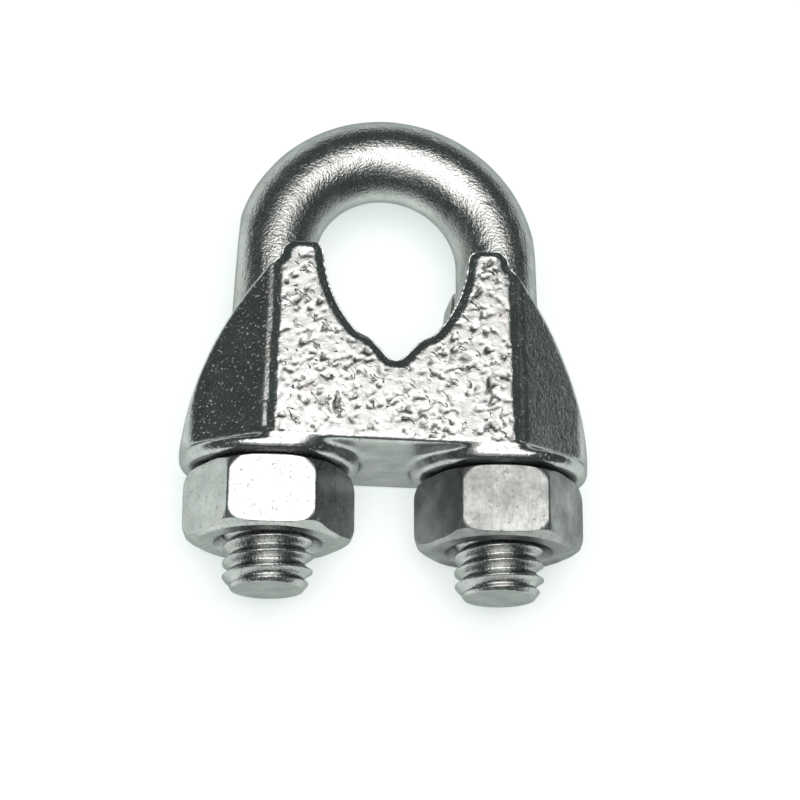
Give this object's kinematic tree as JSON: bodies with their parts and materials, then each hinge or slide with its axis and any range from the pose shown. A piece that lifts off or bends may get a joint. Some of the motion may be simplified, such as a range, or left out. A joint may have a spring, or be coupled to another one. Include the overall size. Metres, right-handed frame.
{
  "type": "wire rope clip",
  "caption": "Wire rope clip: a round U-bolt holds a cast saddle with a notched rope seat and four horns, tightened by a hexagon nut on each threaded leg.",
  "frame": {"origin": "centre of the U-bolt's bend, on the axis of a rope pressed into the bend", "axes": "The clip lies on its back. +X runs across the two legs, from the left leg to the right one. +Y runs along the legs, from the nuts to the bend. +Z is the direction of the rope, up out of the saddle's front face."},
  "size_m": [0.0276, 0.0341, 0.011],
  "materials": {
    "plated_bar": "bright zinc plating on smooth drawn bar, rolled threads",
    "plated_casting": "bright zinc plating on a rough sand-cast skin with small pits",
    "plated_nut": "bright zinc plating on cold-formed flats with fine scratches"
  },
  "bodies": {
    "u_bolt": {"u_bolt": "plated_bar"},
    "saddle": {"saddle": "plated_casting"},
    "nut_left": {"nut_left": "plated_nut"},
    "nut_right": {"nut_right": "plated_nut"}
  },
  "joints": [
    {"name": "saddle_slide", "type": "slide", "parent": "u_bolt", "child": "saddle", "axis": [0, 1, 0], "range_m": [-0.003, 0.0032]},
    {"name": "nut_left_turn", "type": "hinge", "parent": "saddle", "child": "nut_left", "pos_m": [-0.00775, -0.018, 0], "axis": [0, 1, 0], "range_deg": [-1081, 1153]},
    {"name": "nut_right_turn", "type": "hinge", "parent": "saddle", "child": "nut_right", "pos_m": [0.00775, -0.018, 0], "axis": [0, 1, 0], "range_deg": [-1081, 1153]}
  ],
  "couplings": [
    {"joint": "nut_left_turn", "follows": "saddle_slide", "rad_per_m": 6283.2},
    {"joint": "nut_right_turn", "follows": "saddle_slide", "rad_per_m": 6283.2}
  ]
}
